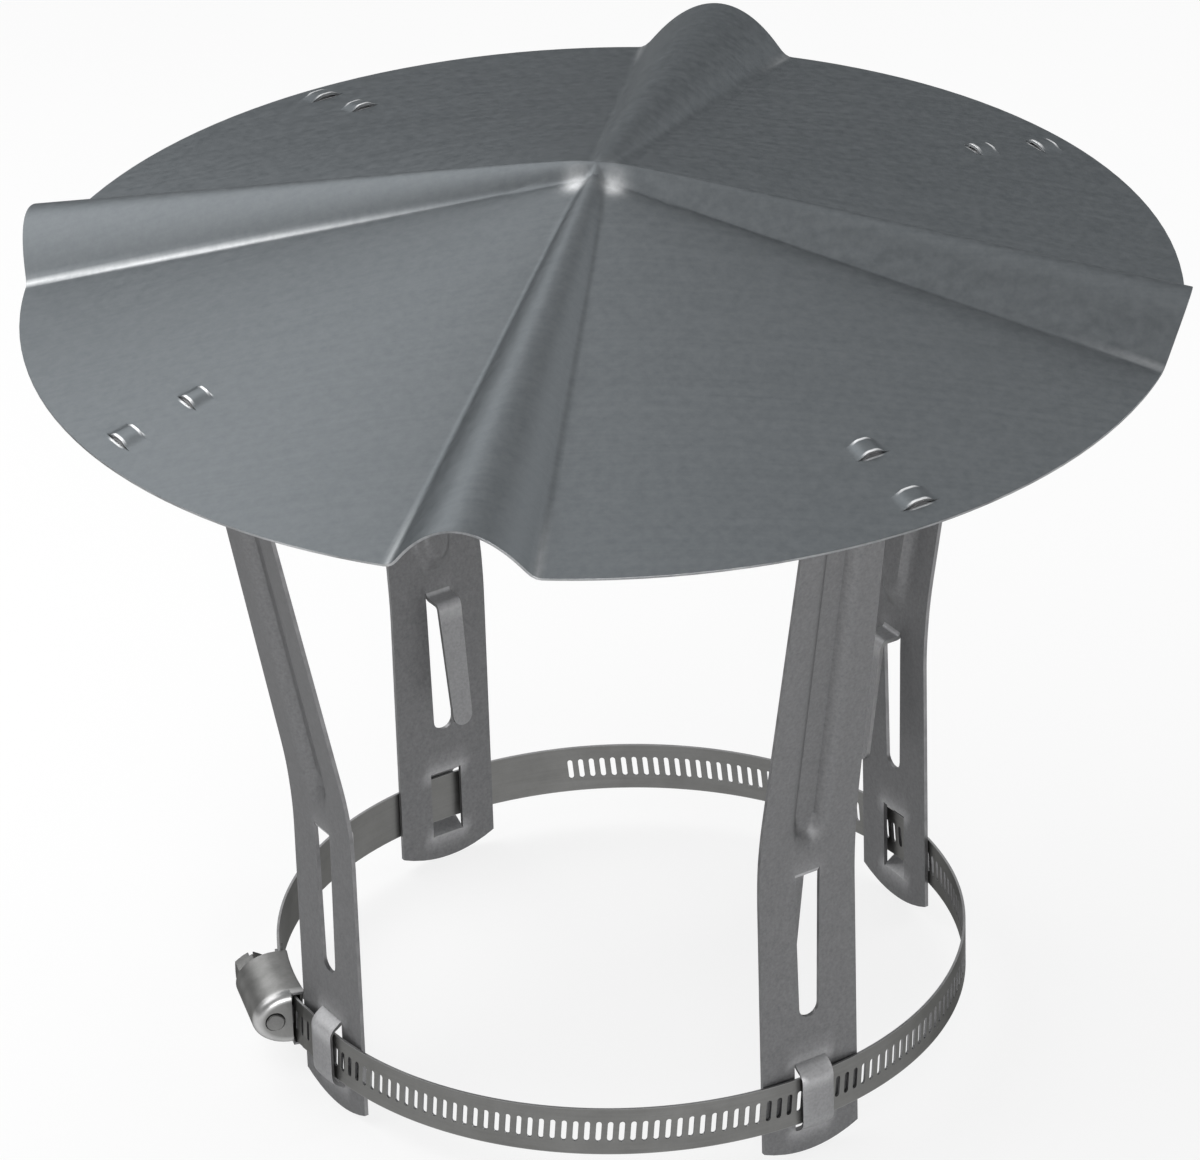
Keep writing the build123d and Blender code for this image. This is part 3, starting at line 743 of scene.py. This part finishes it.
def make_band():
    """The slotted strip, from its free tail over the lap and round to its fixed end."""
    pitch = math.degrees(SLOT_PITCH / (LAP_R + BAND_T / 2))
    tail = HOUSING_DEG - HOUSING_HALF_DEG - math.degrees(TAIL_LEN / LAP_R) - 360
    first = tail + math.degrees(SLOT_MARGIN / LAP_R)
    count = int((SLOTS_END_DEG - first) / pitch) + 1
    fixed_end = MOUTH_DEG - math.degrees(FIXED_END_IN / LAP_R)
    width, length = THREAD_SLOT
    tall = BAND_W / 2
    tips = [length / 2 - width / 2 * step for step in TIP_STEPS]
    upper = [*(tall - step for step in BAND_ROWS), *tips]
    heights = [-z for z in upper] + upper[::-1]
    centres = [first + i * pitch for i in range(count)]
    plain = np.linspace(centres[-1] + pitch, fixed_end, PLAIN_COLUMNS)

    def place(z, degrees, shift):
        radius = band_radius(degrees)
        angle = math.radians(degrees) + shift / radius
        return radius * math.cos(angle), radius * math.sin(angle), BAND_Z + z

    rows = []
    for z in heights:
        corner = max(TAIL_CORNER_R - (tall - abs(z)), 0.0)
        inset = TAIL_CORNER_R - math.sqrt(TAIL_CORNER_R**2 - corner**2)
        half = round_end(length / 2 - abs(z), width / 2) if abs(z) <= length / 2 else width / 3
        lean = z * math.tan(THREAD_LEAN)
        row = [place(z, tail, inset)]
        for centre in centres:
            row += [place(z, centre, lean - half), place(z, centre, lean + half),
                    place(z, centre + pitch / 2, lean)]
        rows.append(row + [place(z, degrees, 0.0) for degrees in plain])

    def in_slot(i, j):
        return j % 3 == 1 and j < 3 * count and abs(heights[i] + heights[i + 1]) / 2 < length / 2

    sheet = Sheet()
    edge = [[BAND_EDGE_SHINE if abs(z) > tall - 0.1 else 0.0 for _ in rows[0]] for z in heights]
    sheet.grid(rows, edge, False, in_slot)
    points, sheen_and_wear, faces, walls = sheet.solid(BAND_T)
    piece = mesh_piece("slotted_band", "clamp", points, faces,
                       [band_steel, strip_edge], sheen_and_wear, walls)
    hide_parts("clamp_band")
    round_edges(piece, BAND_EDGE)


# Housing


def hood_row(y, inset):
    """A section of the hood, lip to lip, and its arch alone, which an inset draws in."""
    side = BAND_W / 2 + HOUSING_PLAY + HOUSING_T
    base = LAP_R + BAND_T + LAP_GAP + HOOD_LIFT
    rise = WORM_X + WORM_R + HOUSING_PLAY + HOUSING_T - base
    lip = math.sqrt((BAND_R - 2 * LAP_GAP - SADDLE_T - HOUSING_T) ** 2 - y**2)
    edge = [(lip, LIP_W - side), (lip, LIP_FOLD - side), (lip + LIP_CHAMFER, LIP_CHAMFER - side),
            (lip + LIP_FOLD, -side), (base, -side)]
    arch = []
    for step in range(ARCH_STEPS + 1):
        swing = math.pi * step / ARCH_STEPS
        arch.append((base + (rise - inset) * math.sin(swing), (inset - side) * math.cos(swing)))
    outline = edge + arch + [(x, -z) for x, z in reversed(edge)]
    return [(x, y, BAND_Z + z) for x, z in outline], [(x, y, BAND_Z + z) for x, z in arch]


def make_housing():
    """The drawn hood over the worm, closed by a rolled nose with a hole for the pilot."""
    half = HOUSING_LEN / 2
    turns = [math.radians(degrees) for degrees in range(0, 91, NOSE_STEP_DEG)]
    stops = [(y, 0.0, 0.0) for y in np.linspace(-half, half - NOSE_R - 1, 6)]
    stops += [(half - NOSE_R * (1 - math.sin(a)), NOSE_R * (1 - math.cos(a)), math.sin(2 * a))
              for a in turns]
    rows = [hood_row(y, inset)[0] for y, inset, _ in stops]
    # painted highlight along the rolled nose
    sheen_and_wear = [[NOSE_SHINE * shine for _ in row] for (_, _, shine), row in zip(stops, rows)]
    skin = Sheet()
    skin.grid(rows[::-1], sheen_and_wear[::-1])
    front = hood_row(half, NOSE_R)[1]
    left, right = front[0], front[-1]
    ring = front + [(right[0], half, share((right[2], left[2]), part))
                    for part in (0.2, 0.4, 0.6, 0.8)]
    hole = []
    for x, _, z in ring:
        way = complex(x - WORM_X, z - BAND_Z)
        way *= (PILOT_R + PILOT_PLAY) / abs(way)
        hole.append((WORM_X + way.real, half, BAND_Z + way.imag))
    middle = [tuple(share(pair, 0.5) for pair in zip(a, b)) for a, b in zip(ring, hole)]
    skin.grid([hole, middle, ring], None, True)
    points, sheen_and_wear, faces, walls = skin.solid(HOUSING_T)
    piece = mesh_piece("drawn_housing", "clamp", points, faces,
                       [stamping, strip_edge], sheen_and_wear, walls, math.radians(HOUSING_DEG))
    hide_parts("clamp_housing")
    round_edges(piece, HOUSING_EDGE)


# Worm screw


def thread_radius(z, angle):
    """Radius of the worm: a trapezoid thread that runs out at both ends."""
    half = HOUSING_LEN / 2 - WORM_END_PLAY
    phase = (z / SLOT_PITCH - angle / (2 * math.pi)) % 1
    tooth = smooth(*THREAD_UP, phase) - smooth(*THREAD_DOWN, phase)
    runout = 1 - smooth(half - THREAD_RUNOUT, half, abs(z))
    return WORM_ROOT_R + (WORM_R - WORM_ROOT_R) * tooth * runout


def hex_radius(angle, limit):
    """Radius of the six-sided head, cut off where its bevel is reached."""
    flat = (angle + math.pi / 6) % (math.pi / 3) - math.pi / 6
    return min(HEX_AF / 2 / math.cos(flat), limit)


def screw_rings():
    """Rings of the screw from its head to its pilot: a height and a radius by angle."""
    half = HOUSING_LEN / 2
    collar = -half - COLLAR_PLAY - COLLAR_T
    head = collar - HEX_H
    rings = [(head, lambda a: 0.0)]
    for rise in (*BEVEL_ROWS, HEX_H):
        limit = HEX_AF / 2 + rise * math.tan(HEX_BEVEL)
        rings.append((head + rise, lambda a, limit=limit: hex_radius(a, limit)))
    behind = collar + COLLAR_T
    for z, radius in ((collar, COLLAR_R - COLLAR_EDGE), (collar + COLLAR_EDGE, COLLAR_R),
                      (behind - COLLAR_EDGE, COLLAR_R), (behind, COLLAR_R - COLLAR_EDGE),
                      (behind, WORM_ROOT_R)):
        rings.append((z, lambda a, radius=radius: radius))
    for z in np.linspace(WORM_END_PLAY - half, half - WORM_END_PLAY, THREAD_RINGS):
        rings.append((z, lambda a, z=z: thread_radius(z, a)))
    tip = half + PILOT_OUT
    for z, radius in ((half - WORM_END_PLAY, PILOT_R), (tip - PILOT_EDGE, PILOT_R),
                      (tip, PILOT_R - PILOT_EDGE), (tip, 0.0)):
        rings.append((z, lambda a, radius=radius: radius))
    return rings


def carve(piece, low, high):
    """Cuts a block out of a piece; its corners are in the piece's own metres."""
    across, along, up = zip(low, high)
    corners = [(x, y, z) for x in across for y in along for z in up]
    sides = [(0, 1, 3, 2), (4, 6, 7, 5), (0, 4, 5, 1), (2, 3, 7, 6), (0, 2, 6, 4), (1, 5, 7, 3)]
    mesh = bpy.data.meshes.new("cutter")
    mesh.from_pydata(corners, [], sides)
    cutter = bpy.data.objects.new("cutter", mesh)
    cutter.matrix_world = piece.matrix_world @ Matrix.Rotation(math.radians(HOUSING_DEG), 4, "Z")
    bpy.context.scene.collection.objects.link(cutter)
    cut = piece.modifiers.new("cut", "BOOLEAN")
    cut.object = cutter
    whole = piece.data
    shown = piece.evaluated_get(bpy.context.evaluated_depsgraph_get())
    piece.data = bpy.data.meshes.new_from_object(shown)
    piece.modifiers.clear()
    bpy.data.objects.remove(cutter)
    bpy.data.meshes.remove(mesh)
    bpy.data.meshes.remove(whole)


def make_screw():
    """The worm screw in one piece, with the driver's slot cut into its head."""
    angles = np.radians(np.arange(0, 360, SCREW_STEP_DEG))
    rows = []
    for z, radius in screw_rings():
        rows.append([(WORM_X + radius(a) * math.cos(a), z, BAND_Z - radius(a) * math.sin(a))
                     for a in angles])
    skin = Sheet()
    skin.grid(rows, None, True)
    piece = mesh_piece("slotted_worm_screw", "screw", skin.points, skin.faces,
                       [screw_steel], turn=math.radians(HOUSING_DEG))
    head = rows[0][0][1]
    carve(piece, [(WORM_X - DRIVE_W / 2) * MM, (head - 1) * MM, (BAND_Z - HEX_AF) * MM],
          [(WORM_X + DRIVE_W / 2) * MM, (head + DRIVE_DEPTH) * MM, (BAND_Z + HEX_AF) * MM])
    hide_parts("worm_screw")
    round_edges(piece, SCREW_EDGE, SCREW_EDGE_DEG)
    weld = piece.modifiers.new("weld", "WELD")
    weld.merge_threshold = WELD_GAP * MM


make_roof()
make_legs()
make_band()
make_housing()
make_screw()

# The saddle keeps its CAD form
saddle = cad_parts["clamp_saddle"]
saddle.data.materials.clear()
saddle.data.materials.append(stamping)
round_edges(saddle, SADDLE_EDGE, SADDLE_EDGE_DEG)


# Stage, light and camera


def make_floor():
    """A pale floor, white where it is seen or mirrored, that keeps part of the shadow."""
    mesh = bpy.data.meshes.new("floor")
    square = ((-1, -1), (1, -1), (1, 1), (-1, 1))
    corners = [(FLOOR_REACH * x, FLOOR_REACH * y, 0) for x, y in square]
    mesh.from_pydata(corners, [], [(0, 1, 2, 3)])
    floor = bpy.data.objects.new("floor", mesh)
    bpy.context.scene.collection.objects.link(floor)
    material = bpy.data.materials.new("pale_floor")
    material.use_nodes = True
    tree = material.node_tree
    shader = tree.nodes["Principled BSDF"]
    shader.inputs["Base Color"].default_value = (FLOOR_TONE, FLOOR_TONE, FLOOR_TONE, 1)
    shader.inputs["Roughness"].default_value = FLOOR_ROUGH
    glow = node(tree, "ShaderNodeEmission", Strength=1.0)
    blend = node(tree, "ShaderNodeMixShader")
    tree.links.new(ramp(tree, seen_rays(tree), 0, 1, 0, FLOOR_GLOW), blend.inputs[0])
    tree.links.new(shader.outputs[0], blend.inputs[1])
    tree.links.new(glow.outputs[0], blend.inputs[2])
    tree.links.new(blend.outputs[0], tree.nodes["Material Output"].inputs["Surface"])
    mesh.materials.append(material)


def seen_rays(tree):
    """One where the surface is seen directly, mirrored or through glass."""
    rays = node(tree, "ShaderNodeLightPath")
    mirrored = node(tree, "ShaderNodeMath", operation="MAXIMUM")
    tree.links.new(rays.outputs["Is Glossy Ray"], mirrored.inputs[0])
    tree.links.new(rays.outputs["Is Transmission Ray"], mirrored.inputs[1])
    seen = node(tree, "ShaderNodeMath", operation="MAXIMUM")
    tree.links.new(rays.outputs["Is Camera Ray"], seen.inputs[0])
    tree.links.new(mirrored.outputs[0], seen.inputs[1])
    return seen.outputs[0]


def make_world(dim, bright):
    """Soft light all round, brightest high up behind the object."""
    world = bpy.data.worlds.new("studio")
    bpy.context.scene.world = world
    world.use_nodes = True
    tree = world.node_tree
    back = tree.nodes["Background"]
    side = node(tree, "ShaderNodeVectorMath", operation="DOT_PRODUCT")
    side.inputs[1].default_value = BRIGHT_SIDE.normalized()
    tree.links.new(node(tree, "ShaderNodeTexCoord").outputs["Generated"], side.inputs[0])
    light = ramp(tree, side.outputs["Value"], WORLD_EDGE, 1, dim, bright)
    tree.links.new(light, back.inputs["Strength"])
    back.inputs["Color"].default_value = (1, 1, 1, 1)


def lamp(name, azimuth, elevation, distance, size, power):
    """A soft area lamp, placed by its angle from the camera's side and its height."""
    view = CAMERA_PLACE - LAMP_AIM
    turn = math.atan2(view.y, view.x) + math.radians(azimuth)
    lift = math.radians(elevation)
    level = math.cos(lift)
    offset = Vector((math.cos(turn) * level, math.sin(turn) * level, math.sin(lift)))
    light = bpy.data.lights.new(name, "AREA")
    light.shape = "DISK"
    light.size = size
    light.energy = power
    made = bpy.data.objects.new(name, light)
    made.location = LAMP_AIM + offset * distance
    made.rotation_euler = (-offset).to_track_quat("-Z", "Y").to_euler()
    bpy.context.scene.collection.objects.link(made)


def make_camera():
    """The camera at the photograph's place, aim and roll."""
    back = (CAMERA_PLACE - CAMERA_AIM).normalized()
    right = CAMERA_UP.cross(back).normalized()
    up = back.cross(right)
    camera = bpy.data.cameras.new("camera")
    camera.sensor_fit = "HORIZONTAL"
    camera.sensor_width = 36
    camera.lens = CAMERA_LENS
    made = bpy.data.objects.new("camera", camera)
    turn = Matrix((right, up, back)).transposed().to_4x4()
    made.matrix_world = Matrix.Translation(CAMERA_PLACE) @ turn
    bpy.context.scene.collection.objects.link(made)
    bpy.context.scene.camera = made


make_floor()
make_world(WORLD_DIM, WORLD_BRIGHT)
for values in LAMPS:
    lamp(*values)
make_camera()
bpy.context.scene.view_settings.view_transform = "Standard"
